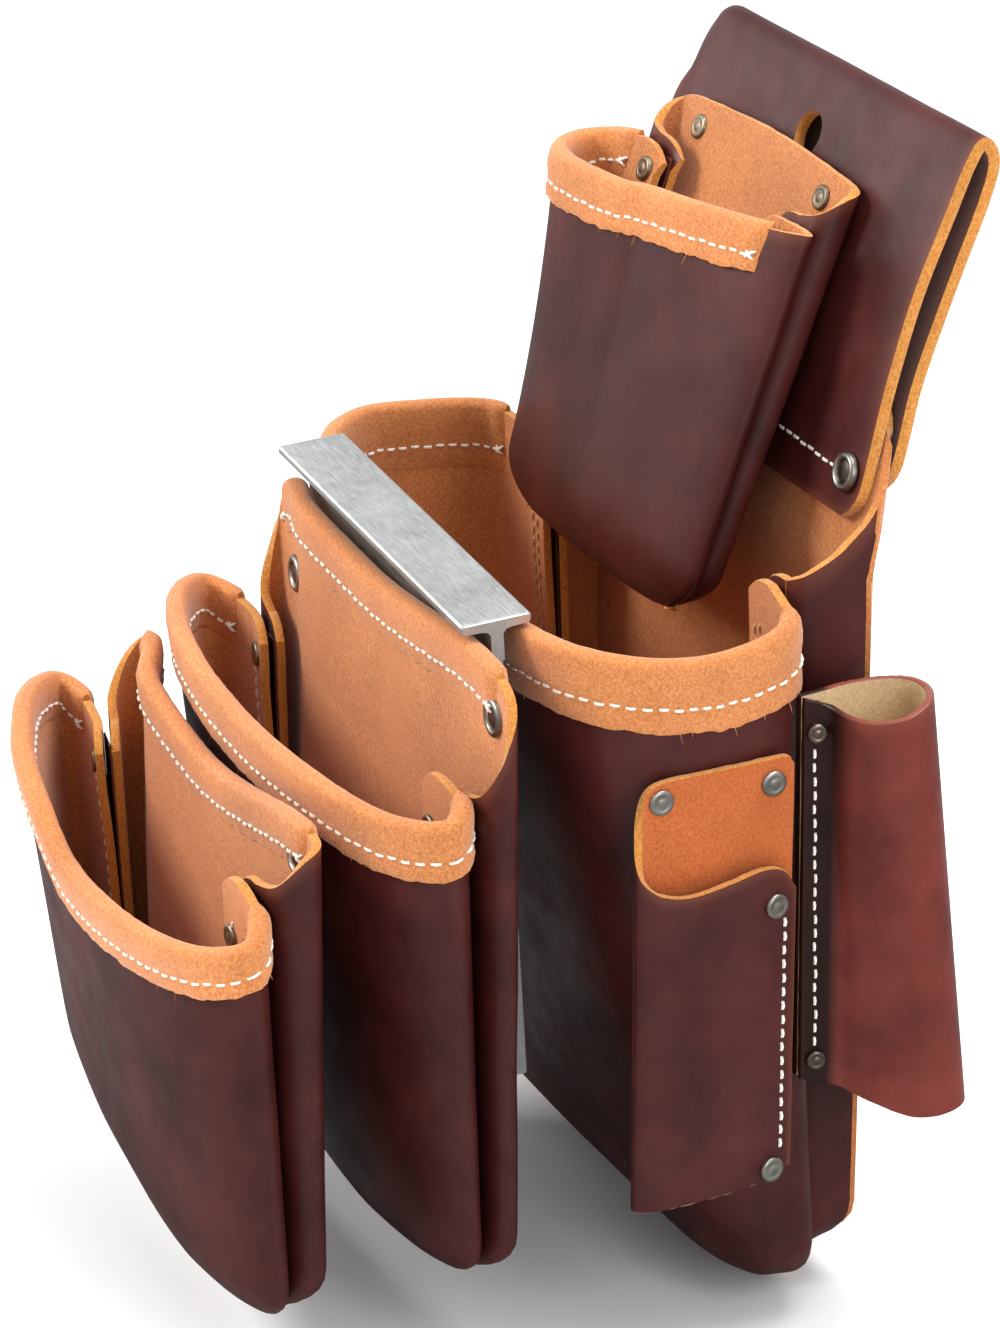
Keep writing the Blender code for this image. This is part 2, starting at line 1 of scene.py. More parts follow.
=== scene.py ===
"""Leather tool pouch: the detailed model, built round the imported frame.

The panels follow the same outlines as the frame's, at a finer step, with the
suede bindings, stitches, rivets and raw edges on them. Lengths are in
millimetres, heights are counted from just below the bottom of the main bag,
and place() turns points into the frame's metres. Only Shader, the floor, the
lights and the camera are given in metres.
"""
import math
import random
from dataclasses import dataclass

import bpy
import numpy as np
from mathutils import Euler, Matrix, Vector, noise


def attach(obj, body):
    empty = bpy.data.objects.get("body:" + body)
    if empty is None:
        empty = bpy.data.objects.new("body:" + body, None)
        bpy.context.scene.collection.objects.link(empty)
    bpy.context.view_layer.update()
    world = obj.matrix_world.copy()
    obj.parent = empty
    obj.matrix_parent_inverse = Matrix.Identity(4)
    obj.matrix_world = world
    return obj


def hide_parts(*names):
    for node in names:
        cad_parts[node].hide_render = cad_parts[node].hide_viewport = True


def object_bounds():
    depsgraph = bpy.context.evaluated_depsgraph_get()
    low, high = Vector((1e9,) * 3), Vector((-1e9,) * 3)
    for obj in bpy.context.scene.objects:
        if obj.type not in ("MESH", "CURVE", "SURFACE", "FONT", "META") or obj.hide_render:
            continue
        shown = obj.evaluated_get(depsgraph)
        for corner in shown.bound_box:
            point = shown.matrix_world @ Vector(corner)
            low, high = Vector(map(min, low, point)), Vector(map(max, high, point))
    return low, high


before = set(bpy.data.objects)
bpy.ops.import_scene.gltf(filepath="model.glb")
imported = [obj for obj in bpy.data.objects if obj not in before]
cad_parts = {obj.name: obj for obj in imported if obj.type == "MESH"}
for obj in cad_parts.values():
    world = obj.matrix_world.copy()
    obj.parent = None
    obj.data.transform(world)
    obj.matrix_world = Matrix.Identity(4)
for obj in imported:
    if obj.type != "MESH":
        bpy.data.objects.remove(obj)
cad_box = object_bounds()

MM = 0.001
ORIGIN_HEIGHT = 150.0
BODY = "bag"

# ---- driving dimensions, as in the frame ----
LEATHER = 3.4            # thickness of the pouches' panels
STRAP_LEATHER = 4.5      # thickness of the belt loop
THIN_LEATHER = 2.8       # thickness of the sleeve and the holster
GAP = 0.35               # air between touching pieces
SEAM_AIR = 0.2           # more of it in a seam
BINDING_WALL = 1.7       # thickness of a rim binding on the frame
FLANGE = 15.0            # width of the seam's flanges, which point into the pouch
HOOK_LENGTH = 26.0       # length over which the left end of a seam hooks back
STRAP_HALF_WIDTH = 100.0
STRAP_CORNER = 16.0      # radius of the belt loop's corners
RISE_START, RISE_LENGTH = 50.0, 145.0   # where a pouch's bottom starts to rise, and how far on
BEND_START, BEND_LENGTH = -30.0, 70.0   # the same for a left end that turns back
TURN_PIVOT = -60.0       # x about which a pouch is turned
LEAN_START = 280.4       # z above which the main bag's back leans
LEAN_SLOPE = 0.25        # y per z of that lean
EAR_START = 290.0        # z above which the main bag's back narrows
EAR_TAPER = 0.0022       # share of its width lost per z
MAIN_TURN = 0.06         # y per x by which the main bag's front turns back
MAIN_FRONT = -124.0      # y at which it turns by that much
SMALL_LEAN = math.radians(20.8)
SMALL_ORIGIN = (0.0, 22.6, 401.0)
HOLSTER_TOP = 248.0
HOLSTER_BOTTOM = 92.0
SQUARE_LEG = 178.0       # length of the fence, and height of the square
SQUARE_TILT = Euler((math.radians(4.0), math.radians(2.0), math.radians(-2.0)))
SQUARE_TOP = (1.0, -132.0, 281.6)
FENCE_HALF_WIDTH = 13.0
FENCE_DEPTH = 16.0
# Half of the fence's section, as (sideways, height) from the middle of its top.
FENCE = ((0.0, 0.0), (12.2, 0.0), (FENCE_HALF_WIDTH, -0.7), (FENCE_HALF_WIDTH, -2.5),
         (12.3, -3.2), (6.0, -3.4), (3.6, -3.9), (2.4, -5.4), (2.4, -FENCE_DEPTH))

# ---- details and fineness of this model ----
WAVES = 0.5              # how far leather waves in or out
WAVE_SIZE = 45.0         # size of a panel's waves
WELT = 0.8               # thickness of the strip inside a seam
WELT_MARGIN = 2.1        # from the middle of a flange to the middle of this strip
FLANGE_THINNING = 0.94   # thickness of a flange, as a share of the panel's
BINDING_INSIDE = LEATHER / 2 + 0.25
BINDING_THICK = 1.9
BINDING_SEAM = 0.62      # height of a binding's stitches, as a share of its drop
# Half sections of a binding, from its top edge down: (share of the drop, puff).
CUT_SIDE = ((0.0, 0.0), (0.16, 0.35), (0.34, 0.25), (0.50, -0.10), (0.62, -0.55),
            (0.74, -0.05), (0.90, 0.10), (1.0, -0.35))
PARED_SIDE = ((0.0, 0.0), (0.16, 0.35), (0.34, 0.15), (0.50, -0.25), (0.62, -0.70),
              (0.74, -0.85), (0.90, -1.30), (1.0, -1.75))
STITCH_PITCH = 5.2
STITCH_LENGTH = 3.9
STITCH_SPOTS = (0.0, 0.12, 0.5, 0.88, 1.0)
THREAD = 0.55            # radius of a stitch's thread
HEAVY_THREAD = 0.62
EYELET_RADIUS = 5.5      # a larger fastener is an eyelet
# Sections of the fasteners, as (share of the radius, height).
EYELET_RING = ((0.60, -1.2), (1.0, -1.2), (1.0, 0.35), (0.94, 1.0), (0.82, 1.35), (0.70, 1.15),
               (0.62, 0.5), (0.60, -1.2))
EYELET_CAP = ((0.0, -1.0), (0.59, -1.0), (0.59, 0.35), (0.45, 0.75), (0.20, 0.95), (0.0, 1.0))
RIVET_HEAD = ((0.0, -1.2), (0.96, -1.2), (1.0, 0.30), (0.97, 0.75), (0.86, 1.08), (0.66, 1.15),
              (0.60, 0.98), (0.38, 1.02), (0.30, 1.22), (0.0, 1.25))
SPAN_STEPS = 8           # columns of mesh per span of a plan outline
ROUND_ROWS = 9           # rows of mesh up the rounded bottom
ROUND_START, ROUND_SWEEP = math.radians(8.0), math.radians(82.0)
SIDE_ROWS = 24           # rows of mesh above it
UPRIGHT_ROWS = 30        # rows of mesh up the sleeve and the holster
TURNED_SIDES = 32

# ---- studio, in metres ----
FLOOR_HALF = 3.0
FLOOR_DROP = 0.0008      # from the object's lowest point down to the floor
CAMERA_PLACE = (1.6717, -0.8580, 0.8221)
CAMERA_AZIMUTH = math.radians(65.4)
CAMERA_ELEVATION = math.radians(22.2)
CAMERA_LENS = 149.1      # millimetres

# Plan outlines from a crease to the middle: (share of the lobe, share of the depth).
MAIN_PLAN = ((0.0, 0.0), (0.80, 0.10), (1.0, 0.42), (0.90, 0.76), (-0.10, 0.985))
DISH_PLAN = ((0.0, 0.0), (0.80, 0.12), (1.0, 0.36), (0.15, 0.72), (-1.60, 0.95))
BACK_PLAN = ((0.0, 0.0), (0.72, 0.20), (1.0, 0.58), (0.80, 1.0), (-0.5, 1.0))


@dataclass(eq=False)
class Pouch:
    """Sizes of one pouch: a front dish and a back dish that meet at a seam."""

    centre: float        # x of the middle
    half: float          # half width at the creases
    flat_half: float     # half width of the seam along the bottom
    lobes: tuple         # how far the front's (left, right) lobes stand out
    back_lobes: tuple    # how far the back panel's (left, right) wings stand out
    seam: tuple          # y of the side seam at (bottom, rim)
    front: tuple         # y of the front at (bottom, rim)
    back: float          # y of the back panel
    bottom: float        # z of the bottom
    round_bottom: float  # radius of the bottom edge
    rim_left: tuple      # z of the front rim, one per plan point
    rim_right: tuple     # the same on the right, with the middle last
    back_left: tuple     # z of the back panel's top, one per plan point
    back_right: tuple    # the same on the right, with the middle last
    plan: tuple          # plan outline of the front
    drop: float          # how far the rim binding reaches down
    belly: float = 1.0   # 1 tapers straight, less bulges low down
    bend: float = 0.0    # how far the left end turns back
    skew: tuple = (0.0, 0.0)  # share of depth (gained on the left, lost on the right)
    turn: float = 0.0    # y per x by which the pouch is turned
    rise: float = 0.0    # how far the bottom rises towards the left end
    hook: float = 0.0    # how far back the left end of the seam reaches


MAIN = Pouch(0.0, 101.0, 90.0, (28.0, 28.0), (6.0, 6.0), (-22.0, -31.0), (-44.0, -123.6), -1.7,
             6.0, 30.0,
             (272.0, 273.0, 275.0, 276.0, 274.0), (279.0, 272.0, 267.0, 270.0, 272.0, 268.0),
             (280.0, 283.0, 291.0, 306.0, 338.0), (280.0, 283.0, 291.0, 306.0, 338.0, 344.0),
             MAIN_PLAN, 24.0, belly=0.62)
MID = Pouch(6.0, 94.0, 83.0, (28.0, 24.0), (12.0, 26.0), (-150.0, -153.0), (-169.0, -196.0),
            -141.3, 36.0, 26.0,
            (219.0, 221.0, 225.0, 227.0, 225.0), (228.0, 225.0, 221.0, 220.0, 222.0, 222.0),
            (219.0, 226.0, 240.0, 260.0, 269.0), (222.0, 228.0, 243.0, 263.0, 269.0, 264.0),
            DISH_PLAN, 18.0, belly=0.8, turn=-0.015, rise=20.0, hook=5.0)
OUTER = Pouch(-2.0, 90.0, 79.0, (32.0, 22.0), (12.0, 18.0), (-216.0, -222.0), (-236.0, -258.0),
              -204.6, 27.0, 26.0,
              (185.0, 188.0, 192.0, 194.0, 184.0), (197.0, 190.0, 183.0, 177.0, 173.0, 172.0),
              (185.0, 192.0, 204.0, 212.0, 213.0), (196.0, 200.0, 209.0, 214.0, 214.0, 203.0),
              DISH_PLAN, 15.0, belly=0.9, bend=4.0, turn=-0.02, rise=32.0, hook=9.0)
SMALL = Pouch(-16.0, 55.0, 59.0, (23.0, 17.0), (12.0, 12.0), (-9.0, -13.0), (-22.0, -40.0), 0.0,
              -165.0, 18.0,
              (-20.0, -24.0, -30.0, -35.0, -34.0), (-20.0, -20.0, -21.0, -24.0, -28.0, -31.0),
              (-17.0, -14.0, -7.0, -2.0, 0.0), (-17.0, -14.0, -7.0, -2.0, 0.0, 2.0),
              DISH_PLAN, 16.0, belly=0.9, skew=(0.7, 0.3))


# ---- small helpers ----
def place(points):
    """Points in mm, heights from the bottom, as points of the frame in metres."""
    return (np.asarray(points, float) - (0.0, 0.0, ORIGIN_HEIGHT)) * MM


def lerp(a, b, t):
    return a + (b - a) * t


def slopes_of(points):
    """Slopes of a smooth curve at its points, held back next to short spans."""
    spans = [after - before for before, after in zip(points, points[1:])]
    slopes = [spans[0]]
    for before, after in zip(spans, spans[1:]):
        slope = (before + after) / 2
        limit = 1.5 * min(before.length, after.length)
        slopes.append(slope * min(1.0, limit / slope.length))
    return [*slopes, spans[-1]]


def spline(points, steps):
    """Points on a smooth curve through the given points, steps per span."""
    slopes = slopes_of(points)
    curve = []
    for a, b, slope_a, slope_b in zip(points, points[1:], slopes, slopes[1:]):
        for step in range(steps):
            t = step / steps
            curve.append(a * (2 * t ** 3 - 3 * t ** 2 + 1) + slope_a * (t ** 3 - 2 * t ** 2 + t)
                         + b * (3 * t ** 2 - 2 * t ** 3) + slope_b * (t ** 3 - t ** 2))
    curve.append(points[-1].copy())
    return curve


def unit(vectors):
    lengths = np.linalg.norm(vectors, axis=-1, keepdims=True)
    return vectors / np.maximum(lengths, 1e-9)


def ripple(point, size, seed):
    """Smooth noise from -1 to 1 at a point in mm, with lumps of about that size."""
    return noise.noise(Vector(point) / size + Vector((seed * 7.3, seed * 3.1, seed * 5.7)))


def distances(line):
    """How far along a line of points each of them is."""
    steps = np.linalg.norm(np.diff(line, axis=0), axis=1)
    return np.concatenate(([0.0], np.cumsum(steps)))


# ---- surfaces ----
class Surface:
    """A grid of points, rows from the bottom up and columns across, with its normals."""

    def __init__(self, rows):
        self.points = np.array([[tuple(point) for point in row] for row in rows])
        across = np.gradient(self.points, axis=1)
        above = np.gradient(self.points, axis=0)
        self.normals = unit(np.cross(across, above))
        self.lengths = distances(self.points[-1])

    def at(self, along, down, lift=0.0):
        """(point, normal) at a distance along the rim and down from it, lifted off the middle."""
        column = np.interp(along, self.lengths, np.arange(len(self.lengths)))
        low = min(int(column), self.points.shape[1] - 2)
        share = column - low
        line = lerp(self.points[::-1, low], self.points[::-1, low + 1], share)
        normals = lerp(self.normals[::-1, low], self.normals[::-1, low + 1], share)
        depths = distances(line)
        row = np.interp(down, depths, np.arange(len(depths)))
        first = min(int(row), len(line) - 2)
        part = row - first
        point = lerp(line[first], line[first + 1], part)
        if down < 0.0:
            point = line[0] + unit(line[0] - line[1]) * -down
        normal = unit(lerp(normals[first], normals[first + 1], part))
        return point + normal * lift, normal

    def column_length(self, column):
        """Distance along the rim of a share (0 to 1) of the columns."""
        return float(np.interp(column * (len(self.lengths) - 1),
                               np.arange(len(self.lengths)), self.lengths))


def side_plan(pouch, height_share, front):
    """Plan outline at one height, left to right, as points (x, y, z of the rim)."""
    seam = lerp(pouch.seam[0], pouch.seam[1], height_share)
    half = pouch.half
    if front:
        depth = lerp(pouch.front[0], pouch.front[1], height_share ** pouch.belly)
        shape, lobes = pouch.plan, pouch.lobes
        tops = (pouch.rim_left, pouch.rim_right)
    else:
        depth, shape, lobes = pouch.back, BACK_PLAN, pouch.back_lobes
        tops = (pouch.back_left, pouch.back_right)
    left, right = [], []
    for (out, share), top_left, top_right in zip(shape, *tops):
        y = lerp(seam, depth, share)
        left.append(Vector((-half - out * lobes[0], y, top_left)))
        right.append(Vector((half + out * lobes[1], y, top_right)))
    middle = Vector((0.0, depth, tops[1][-1]))
    return [*left, middle, *reversed(right)], seam


def rise_at(pouch, x):
    """How much higher the bottom is at x than at its right end."""
    return pouch.rise * (max(0.0, RISE_START - x) / RISE_LENGTH) ** 1.25


def turn_back(pouch, x):
    """Shift in y that turns the left end of a pouch back towards the bag."""
    return pouch.bend * (max(0.0, BEND_START - x) / BEND_LENGTH) ** 2


def hook_back(pouch, x):
    """Shift in y of the left end of the seam and of the back panel."""
    near = min(1.0, max(0.0, HOOK_LENGTH - pouch.half - x) / HOOK_LENGTH)
    return pouch.hook * near ** 2 * (3.0 - 2.0 * near)


def hook_drop(pouch):
    """How much of the hook is lost from the left crease to the edge of its flange."""
    return hook_back(pouch, -pouch.half) - hook_back(pouch, FLANGE - pouch.half)


def panel(pouch, front):
    """The surface of one panel, with the slight waves of real leather."""
    lift = -1.0 if front else 1.0
    full = pouch.rim_right[0] - pouch.bottom
    steps_up = []
    for row in range(ROUND_ROWS + 1):
        angle = ROUND_START + ROUND_SWEEP * row / ROUND_ROWS
        steps_up.append((math.sin(angle), pouch.round_bottom * (1.0 - math.cos(angle)), 0.0))
    for row in range(1, SIDE_ROWS + 1):
        steps_up.append((1.0, pouch.round_bottom, row / SIDE_ROWS))
    rows = []
    for swell, above, share in steps_up:
        outline, seam = side_plan(pouch, lerp(above / full, 1.0, share), front)
        curve = spline(outline, SPAN_STEPS)
        deepest = outline[len(pouch.rim_left)].y
        points = []
        for index, point in enumerate(curve):
            across = 2.0 * index / (len(curve) - 1) - 1.0
            flat = Vector((across * pouch.flat_half, seam, 0.0))
            here = flat.lerp(Vector((point.x, point.y, 0.0)), swell)
            here.z = lerp(pouch.bottom + rise_at(pouch, here.x) + above, point.z, share)
            apart = LEATHER / 2 + GAP + SEAM_AIR
            if front:
                skew = pouch.skew[0] if here.x < 0.0 else pouch.skew[1]
                here.y = seam + (here.y - seam) * (1.0 - skew * share * here.x / pouch.half)
                apart += (BINDING_WALL + GAP) * min(1.0, share / 0.8) ** 3
            near_seam = max(abs(across) ** 8, 1.0 - swell)
            held = max(0.0, (here.y - seam) / (deepest - seam)) if front else 0.0
            hook_x = lerp(flat.x, here.x, swell)
            hooked = hook_back(pouch, hook_x) * max(0.0, 1.0 - held) * swell ** 2
            slope = hook_back(pouch, hook_x - 0.5) - hook_back(pouch, hook_x + 0.5)
            apart *= math.hypot(1.0, slope)
            here.y += lift * apart * near_seam
            here.y += turn_back(pouch, here.x) + pouch.turn * (here.x - TURN_PIVOT) + hooked
            if pouch is MAIN:
                if front:
                    share_out = (here.y - seam) / (MAIN_FRONT - seam)
                    here.y += MAIN_TURN * max(0.0, -here.x) * share_out
                else:
                    lean = max(0.0, here.z - LEAN_START)
                    here.y += LEAN_SLOPE * lean
                    here.x *= 1.0 - EAR_TAPER * max(0.0, here.z - EAR_START)
            here.x += pouch.centre
            here.y += WAVES * ripple(here, WAVE_SIZE, 1.0) * (1.0 - near_seam)
            points.append(lean_back(here) if pouch is SMALL else here)
        rows.append(points)
    return Surface(rows)


def lean_back(point):
    """Leans an upright small-pouch point against the belt loop."""
    return Matrix.Rotation(-SMALL_LEAN, 3, "X") @ point + Vector(SMALL_ORIGIN)


def seam_side(pouch, side):
    """(column of the crease, sign of x towards the middle, drop in y) of a seam."""
    return (0, 1.0, hook_drop(pouch)) if side == "left" else (-1, -1.0, 0.0)


def flange(pouch, surface, side):
    """The seam allowance inside a pouch, from its crease towards the middle."""
    column, way, drop = seam_side(pouch, side)
    crease = surface.points[ROUND_ROWS + 1:, column]
    rows = []
    for height, point in enumerate(crease):
        short = 3.0 * max(0.0, height - len(crease) + 3)
        line = [point + (way * out, -drop * out / FLANGE, -short * (out / FLANGE) ** 3)
                for out in np.linspace(0.0, FLANGE, 7)]
        rows.append(line if way > 0 else line[::-1])
    return Surface(rows)


def welt(pouch, front, back, side):
    """A strip that crosses the narrow gap between the two flanges of a seam."""
    column, way, drop = seam_side(pouch, side)
    rows = []
    for near, far in zip(front.points[ROUND_ROWS + 1:-1, column],
                         back.points[ROUND_ROWS + 1:-1, column]):
        margin = WELT_MARGIN / max(2.0 * WELT_MARGIN, abs(far[1] - near[1]))
        line = []
        for out in np.linspace(1.0, FLANGE - 1.0, 7):
            share = lerp(margin, 1.0 - margin, out / FLANGE)
            line.append(near + (way * out, (far[1] - near[1]) * share - drop * out / FLANGE, 0.0))
        rows.append(line if way > 0 else line[::-1])
    return Surface(rows)


# ---- materials ----
class Shader:
    """A Principled material and the few kinds of node it is built from."""

    def __init__(self, name):
        self.material = bpy.data.materials.new(name)
        self.material.use_nodes = True
        self.tree = self.material.node_tree
        self.shader = self.tree.nodes["Principled BSDF"]
        self.where = self.tree.nodes.new("ShaderNodeTexCoord").outputs["Object"]

    def feed(self, node, **inputs):
        """Sets a node's inputs to values, or links them to other nodes' outputs."""
        for key, value in inputs.items():
            socket = node.inputs[key.replace("_", " ")]
            if isinstance(value, bpy.types.NodeSocket):
                self.tree.links.new(value, socket)
            else:
                socket.default_value = value
        return node

    def node(self, kind, **inputs):
        return self.feed(self.tree.nodes.new("ShaderNode" + kind), **inputs)

    def set(self, **inputs):
        self.feed(self.shader, **inputs)

    def stretched(self, scale):
        """Object coordinates stretched along the axes, for brushed or drawn looks."""
        return self.node("Mapping", Scale=scale, Vector=self.where).outputs["Vector"]

    def noise(self, scale, detail=4.0, roughness=0.55, where=None):
        return self.node("TexNoise", Scale=scale, Detail=detail, Roughness=roughness,
                         Vector=where or self.where).outputs["Fac"]

    def cells(self, scale):
        node = self.node("TexVoronoi")
        node.feature = "DISTANCE_TO_EDGE"
        return self.feed(node, Scale=scale, Vector=self.where).outputs["Distance"]

    def across(self, start, end):
        """0 to 1 as the object's y goes from start to end, in metres."""
        y = self.node("SeparateXYZ", Vector=self.where).outputs["Y"]
        return self.node("MapRange", From_Min=start, From_Max=end, Value=y).outputs["Result"]

    def attribute(self, name):
        node = self.node("Attribute")
        node.attribute_name = name
        return node.outputs["Fac"]

    def ramp(self, source, *stops):
        """Colours, or grey levels given as one number, at positions from 0 to 1."""
        node = self.node("ValToRGB", Fac=source)
        elements = node.color_ramp.elements
        while len(elements) < len(stops):
            elements.new(0.5)
        for element, (position, colour) in zip(elements, stops):
            grey = (colour,) * 3 if isinstance(colour, float) else colour
            element.position = position
            element.color = (*grey, 1.0)
        return node.outputs["Color"]

    def blend(self, first, second, share, mode="MIX"):
        """Mixes two colours, each of them given as a colour or another node's output."""
        node = self.node("Mix", Factor=share)
        node.data_type = "RGBA"
        node.blend_type = mode
        for value, socket in ((first, node.inputs[6]), (second, node.inputs[7])):
            if isinstance(value, bpy.types.NodeSocket):
                self.tree.links.new(value, socket)
            else:
                socket.default_value = (*value, 1.0)
        return node.outputs[2]

    def bump(self, *layers):
        """Adds bumps, each (height source, strength, distance in metres)."""
        below = {}
        for source, strength, distance in layers:
            node = self.node("Bump", Strength=strength, Distance=distance, Height=source, **below)
            below = {"Normal": node.outputs["Normal"]}
        self.set(**below)


def leather(name, deep, middle, light, worn, gloss, seam=None):
    """Smooth grain leather: mottled dye, fine pores, paler where it is handled.

    seam gives two y in metres: up to the first one the colour is much darker, rising to the full
    colour at the second. This is painted shade, the shadow on the holster's flange beside its tube.
    """
    made = Shader(name)
    mottle = made.ramp(made.noise(26.0, 5.0, 0.6), (0.30, deep), (0.52, middle), (0.78, light))
    cloud = made.ramp(made.noise(7.0, 2.0), (0.35, 0.78), (0.70, 1.12))
    dyed = made.blend(mottle, cloud, 0.8, "MULTIPLY")
    worn_dye_and_painted_shade = made.blend(dyed, worn, made.attribute("wear"))
    # Painted shade: much darker towards the first y, standing in for the shadow on the holster's
    # flange.
    if seam:
        worn_dye_and_painted_shade = made.blend(worn_dye_and_painted_shade, made.ramp(made.across(*seam), (0.0, 0.12), (1.0, 1.0)),
                              1.0, "MULTIPLY")
    made.set(Base_Color=worn_dye_and_painted_shade, Specular_IOR_Level=0.28,
             Roughness=made.ramp(made.noise(60.0, 3.0), (0.3, gloss - 0.06), (0.75, gloss + 0.10)))
    pores = made.ramp(made.cells(900.0), (0.0, 0.0), (0.25, 1.0))
    made.bump((made.noise(55.0, 3.0), 0.16, 0.0012), (pores, 0.10, 0.00010),
              (made.noise(1500.0, 2.0), 0.10, 0.00008))
    return made.material


def suede(name, deep, middle, light, nap=1.0):
    """The flesh side of leather: short fibres, matt, with darker patches."""
    made = Shader(name)
    fibres = made.ramp(made.noise(950.0, 3.0, 0.7), (0.25, deep), (0.5, middle), (0.75, light))
    patches = made.ramp(made.noise(22.0, 4.0, 0.6), (0.30, 0.76), (0.70, 1.10))
    made.set(Base_Color=made.blend(fibres, patches, 0.75, "MULTIPLY"), Roughness=0.95,
             Specular_IOR_Level=0.12, Sheen_Weight=0.25, Sheen_Roughness=0.5)
    made.bump((made.noise(160.0, 4.0, 0.6), 0.25 * nap, 0.0006),
              (made.noise(1300.0, 3.0, 0.8), 0.55 * nap, 0.00025))
    return made.material


def thread(name, tone):
    made = Shader(name)
    twist = made.noise(1800.0, 1.0)
    made.set(Base_Color=made.ramp(twist, (0.3, tuple(0.72 * part for part in tone)), (0.7, tone)),
             Roughness=0.8, Specular_IOR_Level=0.2)
    made.bump((twist, 0.5, 0.0002))
    return made.material


def metal(name, dull, bright, rough, brushed=None):
    """Plated or bare metal with handling marks; brushed stretches the marks."""
    made = Shader(name)
    where = made.stretched(brushed) if brushed else None
    marks = made.noise(420.0, 4.0, 0.7, where)
    stain = made.noise(38.0, 4.0, 0.65)
    plating = made.ramp(stain, (0.32, dull), (0.62, bright))
    scuffs = made.ramp(marks, (0.35, 0.82), (0.65, 1.08))
    made.set(Base_Color=made.blend(plating, scuffs, 0.7, "MULTIPLY"), Metallic=1.0,
             Roughness=made.ramp(marks, (0.3, rough), (0.7, rough + 0.16)))
    made.bump((marks, 0.10, 0.0001), (stain, 0.08, 0.0003))
    return made.material


def plain_floor():
    """A nearly white floor that is darker to reflections, so it doesn't grey the leather."""
    made = Shader("pale_floor")
    pale = made.ramp(made.noise(3.0, 2.0), (0.3, (0.90, 0.90, 0.90)), (0.7, (0.93, 0.93, 0.93)))
    reflected = made.node("LightPath").outputs["Is Glossy Ray"]
    made.set(Base_Color=made.blend(pale, (0.22, 0.22, 0.22), reflected), Roughness=0.9,
             Specular_IOR_Level=0.1)
    return made.material


BURGUNDY = leather("burgundy_leather", (0.034, 0.0055, 0.0050), (0.060, 0.0100, 0.0085),
                   (0.090, 0.0170, 0.0130), (0.130, 0.034, 0.018), 0.42)
# Holster leather: the last pair of y paints shade on the flange beside the seam, darkest up to
# -0.0285 m.
OXBLOOD = leather("oxblood_leather", (0.085, 0.012, 0.009), (0.145, 0.022, 0.015),
                  (0.200, 0.034, 0.022), (0.230, 0.060, 0.036), 0.32, (-0.0285, -0.0245))
TAN = suede("tan_suede", (0.35, 0.110, 0.030), (0.54, 0.195, 0.062), (0.68, 0.30, 0.110))
# Flesh-side suede darkened to paint the shade inside the belt loop: a shaded copy of the tan flesh
# side.
PAINTED_SHADE_SUEDE = suede("flesh_side_painted_shade", (0.085, 0.024, 0.014), (0.150, 0.046, 0.026),
                (0.210, 0.075, 0.042))
ORANGE = suede("orange_flesh_side", (0.31, 0.062, 0.014), (0.44, 0.105, 0.024),
               (0.54, 0.155, 0.040))
PALE = suede("pale_lining", (0.52, 0.33, 0.16), (0.68, 0.48, 0.26), (0.78, 0.60, 0.36))
RAW_EDGE = suede("raw_cut_edge", (0.34, 0.115, 0.020), (0.54, 0.215, 0.042),
                 (0.68, 0.33, 0.085), 1.4)
WHITE_THREAD = thread("white_thread", (0.86, 0.82, 0.74))
TAN_THREAD = thread("tan_thread", (0.62, 0.38, 0.20))
NICKEL = metal("dull_nickel", (0.20, 0.185, 0.155), (0.46, 0.44, 0.40), 0.30)
BRONZE = metal("dark_rivet_face", (0.10, 0.075, 0.06), (0.20, 0.155, 0.125), 0.24)
AGED = metal("aged_inner_rivet", (0.13, 0.105, 0.075), (0.27, 0.225, 0.165), 0.34)
ALUMINIUM = metal("cast_aluminium", (0.44, 0.45, 0.44), (0.60, 0.61, 0.60), 0.40,
                  (0.25, 3.0, 3.0))


# ---- pieces ----
def new_object(name, data):
    thing = bpy.data.objects.new(name, data)
    bpy.context.scene.collection.objects.link(thing)
    return thing


class Mesh:
    """Gathers the points and faces of one piece before it becomes an object."""

    def __init__(self):
        self.points = []
        self.wear = []
        self.faces = []
        self.finish = []

    def add(self, points, wear=0.0):
        """Adds points in mm and returns their numbers."""
        first = len(self.points)
        self.points.extend(tuple(point) for point in points)
        self.wear.extend([wear] * (len(self.points) - first) if np.isscalar(wear) else wear)
        return list(range(first, len(self.points)))

    def face(self, corners, finish=0):
        self.faces.append(tuple(corners))
        self.finish.append(finish)

    def bridge(self, ring, following, finish=0):
        """Joins two rings of points with quads."""
        for k in range(len(ring)):
            after = (k + 1) % len(ring)
            self.face((ring[k], ring[after], following[after], following[k]), finish)

    def tube(self, rings, finish=0):
        """Joins rings in a row with quads and closes both ends."""
        for ring, following in zip(rings, rings[1:]):
            self.bridge(ring, following, finish)
        self.face(rings[0][::-1], finish)
        self.face(rings[-1], finish)

    def build(self, name, materials, nodes=(), body=BODY, sharp=38.0):
        data = bpy.data.meshes.new(name)
        data.from_pydata(place(self.points).tolist(), [], self.faces)
        for made in materials:
            data.materials.append(made)
        data.polygons.foreach_set("material_index", self.finish)
        data.attributes.new("wear", "FLOAT", "POINT").data.foreach_set("value", self.wear)
        data.validate()
        data.shade_smooth()
        data.set_sharp_from_angle(angle=math.radians(sharp))
        thing = new_object(name, data)
        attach(thing, body)
        if nodes:
            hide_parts(*nodes)
        return thing


